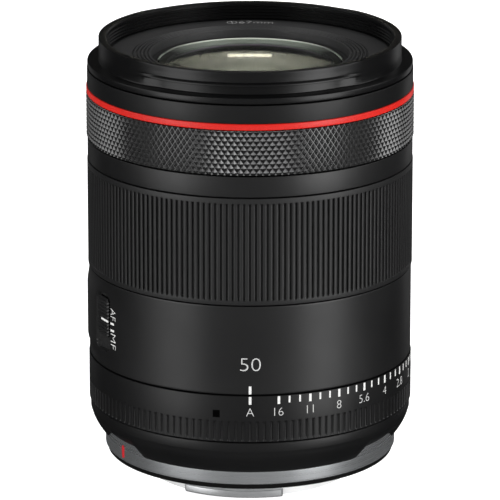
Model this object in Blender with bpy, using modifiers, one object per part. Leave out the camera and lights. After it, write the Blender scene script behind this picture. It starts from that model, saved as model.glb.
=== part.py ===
"""Prime camera lens: fast 50 mm lens with control, focus and aperture rings.

Frame: +Z runs along the optical axis towards the front, the origin is on the axis
at the rear end of the bayonet, and -Y is the side with the index mark.
Sizes are in millimetres and are turned into metres by MM. Angles are in degrees
around the axis, from the index side (-Y) towards +X.
"""
import math

import bmesh
import bpy
from mathutils import Matrix, Vector

for old_object in list(bpy.data.objects):
    bpy.data.objects.remove(old_object, do_unlink=True)

# --- Driving dimensions -------------------------------------------------------
MM = 0.001
MERGE = 0.00001
OUTER_FACETS = 40
CELL_FACETS = 28
GLASS_FACETS = 24
GAP = 0.35              # clearance between pieces that meet
RUN = 0.5               # radial clearance under a ring that turns

FLANGE_Z = 5.5          # lens flange plane
FRONT_Z = 104.8         # front rim
BARREL_R = 38.0         # fixed outer bands
RING_R = 38.25          # control ring, the widest piece
SLEEVE_R = 36.1         # bearing surface under the turning rings
SLEEVE_IN_R = 34.6
TUBE_R = 33.4           # inner barrel
TUBE_IN_R = 31.6
CELL_R = 31.0           # cells that slide into the inner barrel

# Bands along the barrel, front edge and rear edge
SHOULDER_Z = (99.1, 97.95)
FRONT_BAND_Z = (97.6, 93.85)
RED_RING_Z = (93.5, 92.05)
CONTROL_RING_Z = (91.7, 81.45)
MID_BAND_Z = (81.1, 76.3)
FOCUS_RING_Z = (75.9, 50.8)
FIXED_BARREL_Z = (50.35, 29.35)
APERTURE_RING_Z = (28.95, 17.9)
SKIRT_Z = (17.5, 9.6)

FILTER_BORE_R = 33.1    # inside the 67 mm filter thread
FILTER_WALL_R = 35.25
NAME_RING_Z = 100.5
GLASS_WINDOW_R = 23.1

BAYONET_R = 24.4
BAYONET_IN_R = 22.6
LUG_R = 26.0
LUG_THICK = 2.2
LUG_SPAN = 54.0
LUG_CENTRE = -9.5
MOUNT_R = 34.3
SCREW_CIRCLE_R = 28.5
SCREW_ANGLES = (40.0, 130.0, 220.0, 310.0)

PANEL_SPAN = (-54.5, -124.0)
PANEL_Z = (49.0, 31.4)
PANEL_R = 38.45
PANEL_FLOOR_R = 36.4
KNOB_SPAN = (-59.8, -68.6)
KNOB_Z = (46.4, 37.0)
KNOB_TRAVEL = 1.65
KNOB_TOP_R = 38.7
BUTTON_ANGLE = -97.0
BUTTON_Z = 40.2
BUTTON_R = 3.0
LOCK_ANGLE = 135.0
LOCK_Z = (38.7, 34.9)
LOCK_TRAVEL = 2.0

BLADE_COUNT = 11
BLADE_PIVOT_R = 25.5
BLADE_OPEN_R = 18.8
BLADE_OUTER_R = 23.8
BLADE_THICK = 0.25
BLADE_PITCH_Z = 0.6
BLADE_FIRST_Z = 64.4
IRIS_CLEAR_R = 18.0

ROD_CIRCLE_R = 18.3
ROD_R = 1.0

# Glass groups, front to rear: front vertex height, front radius, rear vertex
# height, rear radius, half diameter. A positive radius bulges towards the front.
GLASS_GROUPS = (
    (101.0, 100.0, 96.5, 300.0, 21.6),
    (95.2, 45.0, 90.0, 70.0, 19.5),
    (88.8, 38.0, 82.0, 22.0, 16.5),
    (56.0, -22.0, 51.5, -40.0, 15.0),
    (50.5, 60.0, 45.5, -60.0, 14.4),
    (44.5, 50.0, 41.5, 500.0, 13.8),
    (36.0, 80.0, 32.5, 25.0, 13.5),
    (29.5, 40.0, 27.0, 60.0, 13.5),
    (22.0, -45.0, 20.0, 200.0, 13.5),
    (18.8, 45.0, 14.0, -60.0, 13.5),
    (12.5, -60.0, 10.5, 120.0, 15.5),
)

# --- Collections and materials ------------------------------------------------
parts = bpy.data.collections.new("prime_camera_lens")
cutters = bpy.data.collections.new("cutters")
bpy.context.scene.collection.children.link(parts)
bpy.context.scene.collection.children.link(cutters)


def make_material(name, colour, roughness, metallic=0.0, transmission=0.0):
    material = bpy.data.materials.new(name)
    material.use_nodes = True
    shader = material.node_tree.nodes["Principled BSDF"]
    shader.inputs["Base Color"].default_value = (*colour, 1.0)
    shader.inputs["Roughness"].default_value = roughness
    shader.inputs["Metallic"].default_value = metallic
    shader.inputs["Transmission Weight"].default_value = transmission
    return material


BLACK_PAINT = make_material("black_paint", (0.020, 0.020, 0.021), 0.42, 0.3)
INNER_BLACK = make_material("inner_black", (0.012, 0.012, 0.012), 0.75)
BLACK_PLASTIC = make_material("black_plastic", (0.018, 0.018, 0.019), 0.5)
GRIP_RUBBER = make_material("grip_rubber", (0.022, 0.022, 0.023), 0.6)
RED_ENAMEL = make_material("red_enamel", (0.80, 0.02, 0.01), 0.3)
MOUNT_STEEL = make_material("mount_steel", (0.55, 0.56, 0.58), 0.28, 1.0)
SEAL_RUBBER = make_material("seal_rubber", (0.010, 0.010, 0.010), 0.7)
CONTACT_GOLD = make_material("contact_gold", (0.83, 0.62, 0.25), 0.25, 1.0)
BOARD_GREEN = make_material("board_green", (0.02, 0.16, 0.06), 0.45)
COIL_COPPER = make_material("coil_copper", (0.72, 0.35, 0.18), 0.35, 1.0)
ALUMINIUM = make_material("cell_aluminium", (0.30, 0.30, 0.31), 0.4, 1.0)
COATED_GLASS = make_material("coated_glass", (0.75, 0.85, 0.80), 0.02, 0.0, 1.0)


# --- Shape helpers ------------------------------------------------------------
def polar(radius, angle, height=0.0):
    """Point in millimetres at an angle from the index side towards +X."""
    turn = math.radians(angle)
    return Vector((radius * math.sin(turn), -radius * math.cos(turn), height))


def add_object(name, mesh, material, collection=parts):
    item = bpy.data.objects.new(name, mesh)
    collection.objects.link(item)
    if material:
        mesh.materials.append(material)
    if collection is cutters:
        item.hide_render = True
        item.display_type = "WIRE"
    return item


def turn_profile(name, points, material, facets, closed):
    """Profile of (radius, height) points in millimetres, turned around +Z."""
    mesh = bpy.data.meshes.new(name)
    vertices = [(radius * MM, 0.0, height * MM) for radius, height in points]
    edges = [(i, i + 1) for i in range(len(points) - 1)]
    if closed:
        edges.append((len(points) - 1, 0))
    mesh.from_pydata(vertices, edges, [])
    item = add_object(name, mesh, material)
    screw = item.modifiers.new("turn", "SCREW")
    screw.steps = facets
    screw.render_steps = facets
    screw.use_merge_vertices = True
    screw.merge_threshold = MERGE
    screw.use_smooth_shade = True
    return item


def ring(name, points, material, facets=OUTER_FACETS):
    """Closed outline that runs down its outer side first."""
    return turn_profile(name, points, material, facets, closed=True)


def band(name, outer_r, inner_r, heights, material, facets=OUTER_FACETS):
    """Plain ring between two radii."""
    top, bottom = heights
    outline = [(outer_r, top), (outer_r, bottom), (inner_r, bottom), (inner_r, top)]
    return ring(name, outline, material, facets)


def outline_mesh(name, outlines, heights):
    """Flat outlines in millimetres, extruded between two heights and welded."""
    top, bottom = heights
    curve = bpy.data.curves.new(name, "CURVE")
    curve.dimensions = "2D"
    curve.fill_mode = "BOTH"
    curve.extrude = (top - bottom) / 2 * MM
    for points in outlines:
        spline = curve.splines.new("POLY")
        spline.points.add(len(points) - 1)
        for target, point in zip(spline.points, points):
            target.co = (point[0] * MM, point[1] * MM, 0.0, 1.0)
        spline.use_cyclic_u = True
    source = bpy.data.objects.new(name + "_outline", curve)
    source.location.z = (top + bottom) / 2 * MM
    cutters.objects.link(source)
    bpy.context.view_layer.update()
    evaluated = source.evaluated_get(bpy.context.evaluated_depsgraph_get())
    mesh = bpy.data.meshes.new_from_object(evaluated)
    mesh.transform(source.matrix_world)
    work = bmesh.new()
    work.from_mesh(mesh)
    bmesh.ops.remove_doubles(work, verts=work.verts, dist=MERGE)
    bmesh.ops.recalc_face_normals(work, faces=work.faces)
    work.to_mesh(mesh)
    work.free()
    mesh.name = name
    bpy.data.objects.remove(source, do_unlink=True)
    return mesh


def arc_outline(inner_r, outer_r, first, last, steps):
    """Sector of a ring between two angles, as a closed outline."""
    angles = [first + (last - first) * i / steps for i in range(steps + 1)]
    outer = [polar(outer_r, angle) for angle in angles]
    inner = [polar(inner_r, angle) for angle in reversed(angles)]
    return outer + inner


def arc_block(name, radii, span, heights, material, steps=10, collection=parts):
    """Curved block that follows the barrel: radii, angles and heights."""
    outline = arc_outline(radii[0], radii[1], span[0], span[1], steps)
    return add_object(name, outline_mesh(name, [outline], heights), material, collection)


def cylinder_cutter(name, places, radius, heights, sides=12):
    """One cutter of equal upright cylinders at the given places."""
    top, bottom = heights
    work = bmesh.new()
    for place in places:
        centre = Vector((place.x, place.y, (top + bottom) / 2)) * MM
        bmesh.ops.create_cone(
            work, cap_ends=True, segments=sides, radius1=radius * MM,
            radius2=radius * MM, depth=(top - bottom) * MM,
            matrix=Matrix.Translation(centre),
        )
    mesh = bpy.data.meshes.new(name)
    work.to_mesh(mesh)
    work.free()
    return add_object(name, mesh, None, cutters)


def combine(item, tool, operation):
    boolean = item.modifiers.new(operation.lower(), "BOOLEAN")
    boolean.operation = operation
    boolean.object = tool
    boolean.solver = "EXACT"
    return boolean


def radial_cylinder(name, radius, angle, height, reach, material, collection=parts):
    """Cylinder whose axis points out of the barrel, between two reaches."""
    inner, outer = reach
    bpy.ops.mesh.primitive_cylinder_add(vertices=24, radius=radius * MM,
                                        depth=(outer - inner) * MM)
    item = bpy.context.active_object
    item.name = name
    item.data.name = name
    for home in list(item.users_collection):
        home.objects.unlink(item)
    collection.objects.link(item)
    item.location = polar((inner + outer) / 2, angle, height) * MM
    item.rotation_euler = (math.radians(90.0), 0.0, math.radians(angle))
    if material:
        item.data.materials.append(material)
        item.data.shade_smooth()
    if collection is cutters:
        item.hide_render = True
        item.display_type = "WIRE"
    return item


def set_pivot(item, point):
    """Moves the object's origin to a joint point, with the shape left in place."""
    place = Vector(point) * MM
    item.data.transform(Matrix.Translation(-place))
    item.location = place


# --- Front: filter ring, name ring, front barrel --------------------------------
def build_front():
    shoulder_top, shoulder_bottom = SHOULDER_Z
    ring("filter_ring", [
        (FILTER_WALL_R - 0.4, FRONT_Z), (FILTER_WALL_R, FRONT_Z - 0.4),
        (FILTER_WALL_R, 101.9), (34.5, 101.7), (34.5, shoulder_top + 0.2),
        (BARREL_R - 0.1, shoulder_top), (BARREL_R - 0.1, shoulder_bottom),
        (34.0, shoulder_bottom), (34.0, 95.0), (31.5, 95.0), (31.5, 99.2),
        (FILTER_BORE_R, 99.2), (FILTER_BORE_R, FRONT_Z - 0.5),
        (FILTER_BORE_R + 0.5, FRONT_Z),
    ], BLACK_PAINT)
    ring("name_ring", [
        (27.3, NAME_RING_Z + 0.2), (27.3, NAME_RING_Z),
        (FILTER_BORE_R - 0.5, NAME_RING_Z), (FILTER_BORE_R - 0.5, 99.6), (24.3, 99.6),
        (24.3, 98.9), (GLASS_WINDOW_R, 98.9), (GLASS_WINDOW_R, NAME_RING_Z + 0.2),
    ], BLACK_PLASTIC)
    band_top, band_bottom = FRONT_BAND_Z
    ring("front_barrel", [
        (BARREL_R, band_top), (BARREL_R, band_bottom), (SLEEVE_R + 0.5, band_bottom),
        (SLEEVE_R + 0.5, RED_RING_Z[1] - 0.2), (SLEEVE_R, RED_RING_Z[1] - 0.3),
        (SLEEVE_R, FOCUS_RING_Z[1] + 0.2), (SLEEVE_IN_R, FOCUS_RING_Z[1] + 0.2),
        (SLEEVE_IN_R, band_top),
    ], BLACK_PAINT)
    band("red_ring", RING_R - 0.05, SLEEVE_R + 0.5 + GAP, RED_RING_Z, RED_ENAMEL)
    band("mid_band", BARREL_R, SLEEVE_R + GAP, MID_BAND_Z, BLACK_PAINT)


# --- Rings that turn ------------------------------------------------------------
def build_turning_rings():
    band("control_ring", RING_R, SLEEVE_R + RUN, CONTROL_RING_Z, BLACK_PAINT)
    focus_top, focus_bottom = FOCUS_RING_Z
    grip_top, grip_bottom = focus_top - 1.0, focus_bottom + 0.9
    core_r = BARREL_R - 0.75
    ring("focus_ring", [
        (BARREL_R + 0.05, focus_top), (BARREL_R + 0.05, grip_top), (core_r, grip_top),
        (core_r, grip_bottom), (BARREL_R + 0.05, grip_bottom),
        (BARREL_R + 0.05, focus_bottom), (SLEEVE_R + RUN, focus_bottom),
        (SLEEVE_R + RUN, focus_top),
    ], BLACK_PAINT)
    band("focus_grip", BARREL_R + 0.1, core_r + GAP, (grip_top - GAP, grip_bottom + GAP),
         GRIP_RUBBER)
    band("aperture_ring", BARREL_R + 0.05, SLEEVE_R + RUN, APERTURE_RING_Z, BLACK_PAINT)


# --- Fixed barrel with its switches ---------------------------------------------
def build_fixed_barrel():
    top, bottom = FIXED_BARREL_Z
    inner_r = TUBE_R + 0.6
    main_barrel = ring("main_barrel", [
        (BARREL_R - 0.1, top), (BARREL_R - 0.1, bottom), (SLEEVE_R - 0.1, bottom),
        (SLEEVE_R - 0.1, SKIRT_Z[0] + 0.7), (inner_r, SKIRT_Z[0] + 0.7), (inner_r, top),
    ], BLACK_PAINT)
    spread = 0.6
    panel_pocket = arc_block(
        "panel_pocket", (PANEL_FLOOR_R - 0.4, 42.0),
        (PANEL_SPAN[0] + spread, PANEL_SPAN[1] - spread),
        (PANEL_Z[0] + GAP, PANEL_Z[1] - GAP), None, collection=cutters)
    combine(main_barrel, panel_pocket, "DIFFERENCE")
    lock_half = 6.5
    lock_pocket = arc_block(
        "lock_pocket", (36.2, 42.0), (LOCK_ANGLE - lock_half, LOCK_ANGLE + lock_half),
        (LOCK_Z[0] + 0.8, LOCK_Z[1] - LOCK_TRAVEL - 0.8), None, 4, cutters)
    combine(main_barrel, lock_pocket, "DIFFERENCE")

    panel = arc_block("switch_panel", (PANEL_FLOOR_R, PANEL_R), PANEL_SPAN, PANEL_Z,
                      BLACK_PAINT)
    knob_recess = arc_block(
        "knob_recess", (37.3, 42.0), (KNOB_SPAN[0] + 0.7, KNOB_SPAN[1] - 0.7),
        (KNOB_Z[0] + 0.9, KNOB_Z[1] - KNOB_TRAVEL - 1.85), None, 4, cutters)
    combine(panel, knob_recess, "DIFFERENCE")
    button_hole = radial_cylinder("button_hole", BUTTON_R + 0.4, BUTTON_ANGLE, BUTTON_Z,
                                  (34.0, 42.0), None, cutters)
    combine(panel, button_hole, "DIFFERENCE")

    knob = arc_block("focus_mode_knob", (37.65, KNOB_TOP_R), KNOB_SPAN, KNOB_Z,
                     BLACK_PLASTIC, 4)
    set_pivot(knob, polar(KNOB_TOP_R, sum(KNOB_SPAN) / 2, sum(KNOB_Z) / 2))
    radial_cylinder("function_button", BUTTON_R, BUTTON_ANGLE, BUTTON_Z, (36.95, 38.35),
                    BLACK_PLASTIC)
    lock = arc_block("iris_lock_knob", (36.6, 38.2), (LOCK_ANGLE - 5.0, LOCK_ANGLE + 5.0),
                     LOCK_Z, BLACK_PLASTIC, 4)
    set_pivot(lock, polar(38.2, LOCK_ANGLE, sum(LOCK_Z) / 2))


# --- Rear: skirt, bayonet mount, screws and contacts ------------------------------
def build_rear():
    skirt_top, skirt_bottom = SKIRT_Z
    ring("rear_skirt", [
        (37.5, skirt_top), (37.5, 14.8), (36.9, 12.8), (34.7, skirt_bottom),
        (TUBE_R + 0.4, skirt_bottom), (TUBE_R + 0.4, skirt_top),
    ], BLACK_PAINT)
    mount = ring("bayonet_mount", [
        (TUBE_R, 12.5), (TUBE_R, skirt_bottom - 0.3), (MOUNT_R, skirt_bottom - 0.3),
        (MOUNT_R, FLANGE_Z + 0.7), (32.6, FLANGE_Z + 0.7), (32.6, FLANGE_Z),
        (BAYONET_R, FLANGE_Z), (BAYONET_R, 0.0), (BAYONET_IN_R, 0.0),
        (BAYONET_IN_R, FLANGE_Z + 2.0), (31.5, FLANGE_Z + 2.0), (31.5, 12.5),
    ], MOUNT_STEEL)
    half = LUG_SPAN / 2
    for number, centre in enumerate((LUG_CENTRE, LUG_CENTRE + 120, LUG_CENTRE + 240)):
        lug = arc_block(f"lug_{number + 1}", (BAYONET_IN_R + 0.6, LUG_R),
                        (centre - half, centre + half), (LUG_THICK, 0.0), None, 8, cutters)
        combine(mount, lug, "UNION")
    places = [polar(SCREW_CIRCLE_R, angle) for angle in SCREW_ANGLES]
    combine(mount, cylinder_cutter("screw_holes", places, 1.2, (9.0, 4.0)), "DIFFERENCE")
    heads = cylinder_cutter("screw_head_pockets", places, 1.9, (FLANGE_Z + 1.2, 4.0))
    combine(mount, heads, "DIFFERENCE")
    ring("dust_seal", [(34.0, 5.85), (34.0, 5.5), (33.0, 5.5), (33.0, 5.85)], SEAL_RUBBER)

    frame = band("rear_frame", CELL_R, 23.5, (13.8, FLANGE_Z + 2.4), ALUMINIUM, CELL_FACETS)
    combine(frame, cylinder_cutter("frame_holes", places, 1.2, (12.5, 6.5)), "DIFFERENCE")
    for number, place in enumerate(places):
        screw = turn_profile(f"mount_screw_{number + 1}", [
            (0.0, 12.0), (0.8, 12.0), (0.8, FLANGE_Z + 0.85), (1.5, FLANGE_Z + 0.85),
            (1.5, FLANGE_Z + 0.1), (0.0, FLANGE_Z + 0.1),
        ], MOUNT_STEEL, 12, closed=False)
        screw.location = Vector((place.x, place.y, 0.0)) * MM

    baffle = turn_profile("rear_baffle", [(0.0, 8.2), (22.1, 8.2), (22.1, 6.8), (0.0, 6.8)],
                          BLACK_PLASTIC, OUTER_FACETS, closed=False)
    bpy.ops.mesh.primitive_cube_add(size=1.0, location=(0.0, 0.0, 7.5 * MM))
    window = bpy.context.active_object
    window.name = "baffle_window"
    window.scale = (29.0 * MM, 22.0 * MM, 6.0 * MM)
    window.hide_render = True
    window.display_type = "WIRE"
    for home in list(window.users_collection):
        home.objects.unlink(window)
    cutters.objects.link(window)
    combine(baffle, window, "DIFFERENCE")

    arc_block("contact_block", (17.6, 21.9), (148.0, 212.0), (6.4, 1.2), BLACK_PLASTIC)
    build_contact_strip()
    band("circuit_board", 32.4, 18.7, (15.5, 14.5), BOARD_GREEN)


def build_contact_strip():
    """Comb of twelve contact pads joined along their inner ends."""
    pads, first, last = 12, 151.0, 209.0
    pitch = (last - first) / pads
    outer = []
    for pad in range(pads):
        start = first + pitch * pad
        outer += [polar(19.2, start + 0.2 * pitch), polar(21.2, start + 0.2 * pitch)]
        outer += [polar(21.2, start + 0.8 * pitch), polar(19.2, start + 0.8 * pitch)]
    inner = [polar(18.4, last - pitch * step) for step in range(pads + 1)]
    mesh = outline_mesh("contact_strip", [outer + inner], (0.85, 0.45))
    add_object("contact_strip", mesh, CONTACT_GOLD)


# --- Inner barrel, cells and glass ------------------------------------------------
def sag(radius_of_curve, distance):
    size = abs(radius_of_curve)
    depth = size - math.sqrt(size * size - distance * distance)
    return math.copysign(depth, radius_of_curve)


def build_cells():
    band("inner_barrel", TUBE_R, TUBE_IN_R, (94.5, 17.1), ALUMINIUM)
    ring("front_lens_cell", [
        (CELL_R - 0.5, 98.4), (CELL_R - 0.5, 94.0), (CELL_R, 93.8), (CELL_R, 73.6),
        (15.0, 73.6), (15.0, 74.2), (16.9, 74.2), (16.9, 86.9), (19.9, 86.9), (19.9, 95.4),
        (22.0, 95.4), (22.0, 98.4),
    ], INNER_BLACK, CELL_FACETS)
    ring("middle_lens_cell", [
        (CELL_R, 62.5), (CELL_R, 60.0), (20.0, 59.8), (20.0, 40.8), (13.2, 40.8),
        (13.2, 41.0), (14.2, 41.0), (14.2, 46.9), (14.8, 46.9), (14.8, 54.1), (15.4, 54.1),
        (15.4, 62.5),
    ], INNER_BLACK, CELL_FACETS)
    ring("rear_lens_cell", [
        (16.5, 24.5), (16.5, 19.4), (CELL_R, 19.2), (CELL_R, 17.2), (18.0, 17.0),
        (18.0, 9.0), (15.9, 9.0), (15.9, 14.9), (12.8, 14.9), (12.8, 15.2), (13.9, 15.2),
        (13.9, 24.5),
    ], INNER_BLACK, CELL_FACETS)


def build_glass():
    steps = 3
    for number, group in enumerate(GLASS_GROUPS):
        front_z, front_curve, rear_z, rear_curve, half = group
        distances = [half * step / steps for step in range(steps + 1)]
        front = [(r, front_z - sag(front_curve, r)) for r in distances]
        rear = [(r, rear_z - sag(rear_curve, r)) for r in reversed(distances)]
        turn_profile(f"glass_group_{number + 1:02d}", front + rear, COATED_GLASS,
                     GLASS_FACETS, closed=False)


# --- Iris ---------------------------------------------------------------------------
def build_iris():
    housing = ring("iris_housing", [
        (CELL_R, 73.1), (CELL_R, 63.0), (IRIS_CLEAR_R, 63.0), (IRIS_CLEAR_R, 63.8),
        (29.7, 63.8), (29.7, 73.1),
    ], INNER_BLACK, CELL_FACETS)
    step = 360.0 / BLADE_COUNT
    pivots = [polar(BLADE_PIVOT_R, step * number) for number in range(BLADE_COUNT)]
    pins = cylinder_cutter("iris_pins", pivots, 0.6, (71.1, 63.4), 8)
    combine(housing, pins, "UNION")
    band("iris_drive_ring", 29.1, 20.2, (72.7, 71.7), ALUMINIUM, CELL_FACETS)
    for number in range(BLADE_COUNT):
        bottom = BLADE_FIRST_Z + BLADE_PITCH_Z * number
        name = f"iris_blade_{number + 1:02d}"
        mesh = outline_mesh(name, blade_outlines(step * number),
                            (bottom + BLADE_THICK, bottom))
        blade = add_object(name, mesh, INNER_BLACK)
        set_pivot(blade, polar(BLADE_PIVOT_R, step * number, bottom))


def blade_outlines(angle):
    """Crescent from the blade's pivot round to its tip, with its pin hole."""
    tip, steps, root = 96.0, 8, 5.0
    outline = [polar(27.6, angle - root), polar(27.6, angle + root)]
    for step in range(steps + 1):
        outline.append(polar(BLADE_OUTER_R, angle + 9.0 + (tip - 13.0) * step / steps))
    outline.append(polar(21.3, angle + tip))
    for step in range(steps + 1):
        outline.append(polar(BLADE_OPEN_R, angle + tip - 4.0 - (tip + 1.0) * step / steps))
    pivot = polar(BLADE_PIVOT_R, angle)
    hole = [pivot + polar(1.0, 36.0 * side) for side in range(10)]
    return [outline, hole]


# --- Focus group and its motor --------------------------------------------------------
def build_focus_group():
    carriage = ring("focus_carriage", [
        (15.8, 35.6), (15.8, 31.6), (20.6, 31.6), (20.6, 30.2), (15.8, 30.2), (15.8, 25.0),
        (12.9, 25.0), (12.9, 25.15), (13.9, 25.15), (13.9, 35.6),
    ], ALUMINIUM, CELL_FACETS)
    rods = [polar(ROD_CIRCLE_R, angle) for angle in (90.0, 270.0)]
    holes = cylinder_cutter("rod_holes", rods, ROD_R + 0.4, (33.0, 29.0))
    combine(carriage, holes, "DIFFERENCE")
    band("focus_coil", 22.8, 21.0, (33.0, 26.0), COIL_COPPER, CELL_FACETS)
    band("magnet_yoke", 27.5, 23.4, (39.0, 21.0), MOUNT_STEEL, CELL_FACETS)
    for number, place in enumerate(rods):
        turn_rod(f"guide_rod_{number + 1}", place, (40.4, 19.7))


def turn_rod(name, place, heights):
    top, bottom = heights
    bpy.ops.mesh.primitive_cylinder_add(vertices=12, radius=ROD_R * MM,
                                        depth=(top - bottom) * MM)
    rod = bpy.context.active_object
    rod.name = name
    rod.data.name = name
    for home in list(rod.users_collection):
        home.objects.unlink(rod)
    parts.objects.link(rod)
    rod.location = Vector((place.x, place.y, (top + bottom) / 2)) * MM
    rod.data.materials.append(MOUNT_STEEL)


build_front()
build_turning_rings()
build_fixed_barrel()
build_rear()
build_cells()
build_glass()
build_iris()
build_focus_group()
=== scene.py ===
import math

import bmesh
import bpy
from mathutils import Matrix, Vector


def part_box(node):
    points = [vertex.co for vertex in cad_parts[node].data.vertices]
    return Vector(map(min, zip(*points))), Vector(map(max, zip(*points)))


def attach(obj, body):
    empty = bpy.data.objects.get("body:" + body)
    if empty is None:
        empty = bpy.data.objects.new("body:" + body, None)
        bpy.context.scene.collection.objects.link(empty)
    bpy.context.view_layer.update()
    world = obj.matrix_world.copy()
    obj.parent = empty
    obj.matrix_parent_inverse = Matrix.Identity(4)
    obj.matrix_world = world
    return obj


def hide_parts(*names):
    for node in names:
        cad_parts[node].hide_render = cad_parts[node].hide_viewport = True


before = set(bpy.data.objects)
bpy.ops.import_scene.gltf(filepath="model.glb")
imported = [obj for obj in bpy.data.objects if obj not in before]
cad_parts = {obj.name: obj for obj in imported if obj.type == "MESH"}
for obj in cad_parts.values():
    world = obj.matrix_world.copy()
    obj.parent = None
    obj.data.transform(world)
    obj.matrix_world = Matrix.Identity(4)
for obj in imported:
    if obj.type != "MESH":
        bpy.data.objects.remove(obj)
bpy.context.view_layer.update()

MM = 0.001
SIDES = 240             # facets of a plain turned piece
SMOOTH_ANGLE = math.radians(32.0)
COLLECTION = bpy.context.scene.collection


def heights(node):
    """Top and bottom of a CAD node, in millimetres."""
    low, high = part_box(node)
    return high.z / MM, low.z / MM


def radius(node):
    """Largest radius of a round CAD node, in millimetres."""
    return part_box(node)[1].x / MM


FRONT_TOP = heights("filter_ring")[0]
BAND_TOP, SLEEVE_BOTTOM = heights("front_barrel")
BAND_R = radius("front_barrel")
RED_TOP, RED_BOTTOM = heights("red_ring")
RED_R = radius("red_ring")
CONTROL_TOP, CONTROL_BOTTOM = heights("control_ring")
CONTROL_R = radius("control_ring")
MID_TOP, MID_BOTTOM = heights("mid_band")
FOCUS_TOP, FOCUS_BOTTOM = heights("focus_ring")
FOCUS_R = radius("focus_grip")
FIXED_TOP = heights("main_barrel")[0]
FIXED_BOTTOM = 29.35    # where the fixed barrel meets the aperture ring
FIXED_R = radius("main_barrel")
APERTURE_TOP, APERTURE_BOTTOM = heights("aperture_ring")
APERTURE_R = radius("aperture_ring")
SKIRT_TOP = heights("rear_skirt")[0]
FLANGE_Z = 5.5          # the face that meets the camera
RING_BORE = 36.7        # inner radius of the three turning rings
SLEEVE_R = 36.0         # fixed sleeve that the rings turn on
MOUNT_R = radius("bayonet_mount")
PANEL_TOP, PANEL_BOTTOM = heights("switch_panel")
KNOB_TOP, KNOB_BOTTOM = heights("focus_mode_knob")


# --- Materials --------------------------------------------------------------
class Nodes:
    """Short way to build one material's node tree."""

    def __init__(self, name):
        self.material = bpy.data.materials.new(name)
        self.material.use_nodes = True
        self.tree = self.material.node_tree
        self.shader = self.tree.nodes["Principled BSDF"]
        coordinates = self.tree.nodes.new("ShaderNodeTexCoord")
        self.place = coordinates.outputs["Object"]

    def set(self, **values):
        """Fixed shader values, with _ for a space in a socket's name."""
        for name, value in values.items():
            socket = self.shader.inputs[name.replace("_", " ")]
            socket.default_value = (*value, 1.0) if isinstance(value, tuple) else value

    def link(self, source, target):
        self.tree.links.new(source, target)

    def noise(self, scale, detail=3.0, roughness=0.6, vector=None):
        node = self.tree.nodes.new("ShaderNodeTexNoise")
        node.inputs["Scale"].default_value = scale
        node.inputs["Detail"].default_value = detail
        node.inputs["Roughness"].default_value = roughness
        self.link(vector or self.place, node.inputs["Vector"])
        return node.outputs["Fac"]

    def spread(self, source, low, high, start=0.3, stop=0.7):
        node = self.tree.nodes.new("ShaderNodeMapRange")
        node.inputs["From Min"].default_value = start
        node.inputs["From Max"].default_value = stop
        node.inputs["To Min"].default_value = low
        node.inputs["To Max"].default_value = high
        self.link(source, node.inputs["Value"])
        return node.outputs["Result"]

    def colours(self, source, dark, light):
        """Base colour between two colours; gives back the mixing node."""
        node = self.tree.nodes.new("ShaderNodeMix")
        node.data_type = "RGBA"
        node.inputs[6].default_value = (*dark, 1.0)
        node.inputs[7].default_value = (*light, 1.0)
        self.link(source, node.inputs[0])
        self.link(node.outputs[2], self.shader.inputs["Base Color"])
        return node

    def bump(self, source, strength, distance):
        node = self.tree.nodes.new("ShaderNodeBump")
        node.inputs["Strength"].default_value = strength
        node.inputs["Distance"].default_value = distance
        self.link(source, node.inputs["Height"])
        self.link(node.outputs["Normal"], self.shader.inputs["Normal"])

    def turned_place(self, scale):
        """Coordinates that change only with the radius and the height."""
        split = self.tree.nodes.new("ShaderNodeSeparateXYZ")
        self.link(self.place, split.inputs[0])
        flat = self.tree.nodes.new("ShaderNodeCombineXYZ")
        self.link(split.outputs["X"], flat.inputs["X"])
        self.link(split.outputs["Y"], flat.inputs["Y"])
        length = self.tree.nodes.new("ShaderNodeVectorMath")
        length.operation = "LENGTH"
        self.link(flat.outputs[0], length.inputs[0])
        profile_place = self.tree.nodes.new("ShaderNodeCombineXYZ")
        self.link(length.outputs["Value"], profile_place.inputs["X"])
        self.link(split.outputs["Z"], profile_place.inputs["Z"])
        scaled = self.tree.nodes.new("ShaderNodeVectorMath")
        scaled.operation = "SCALE"
        scaled.inputs["Scale"].default_value = scale
        self.link(profile_place.outputs[0], scaled.inputs[0])
        return scaled.outputs["Vector"]


GRAIN_DEPTH = 0.000010


def paint_nodes(name, colour, roughness, grain_depth=GRAIN_DEPTH, specular=0.5):
    """Node tree of a sprayed or moulded surface."""
    nodes = Nodes(name)
    nodes.set(Metallic=0.0, Specular_IOR_Level=specular)
    cloud = nodes.noise(60.0, 4.0)
    fine = nodes.noise(3200.0, 2.0, 0.7)
    darker = tuple(part * 0.86 for part in colour)
    lighter = tuple(part * 1.14 for part in colour)
    nodes.colours(nodes.spread(fine, 0.0, 1.0), darker, lighter)
    nodes.link(nodes.spread(cloud, roughness - 0.04, roughness + 0.05),
               nodes.shader.inputs["Roughness"])
    nodes.bump(fine, 0.5, grain_depth)
    return nodes


def paint(name, colour, roughness, grain_depth=GRAIN_DEPTH, specular=0.5):
    """Sprayed or moulded surface with a fine grain and slightly uneven gloss."""
    return paint_nodes(name, colour, roughness, grain_depth, specular).material


HIGHLIGHT_START, HIGHLIGHT_FULL = 0.009, 0.019    # metres behind the axis where the painted highlight starts and where it is full
# painted shade colour for the near side of the glass edge rings
PAINTED_NEAR_SHADE = (0.010, 0.009, 0.007)


def painted_far_highlight(name, colour, roughness):
    """Ground glass edge with a painted highlight: light at the ring's far side, painted shade
    at its near side.
    """
    nodes = paint_nodes(name, colour, roughness)
    grained = nodes.shader.inputs["Base Color"].links[0].from_socket
    split = nodes.tree.nodes.new("ShaderNodeSeparateXYZ")
    nodes.link(nodes.place, split.inputs[0])
    far = nodes.spread(split.outputs["Y"], 0.0, 1.0, HIGHLIGHT_START, HIGHLIGHT_FULL)
    mix = nodes.colours(far, PAINTED_NEAR_SHADE, colour)
    nodes.link(grained, mix.inputs[7])
    return nodes.material


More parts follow.
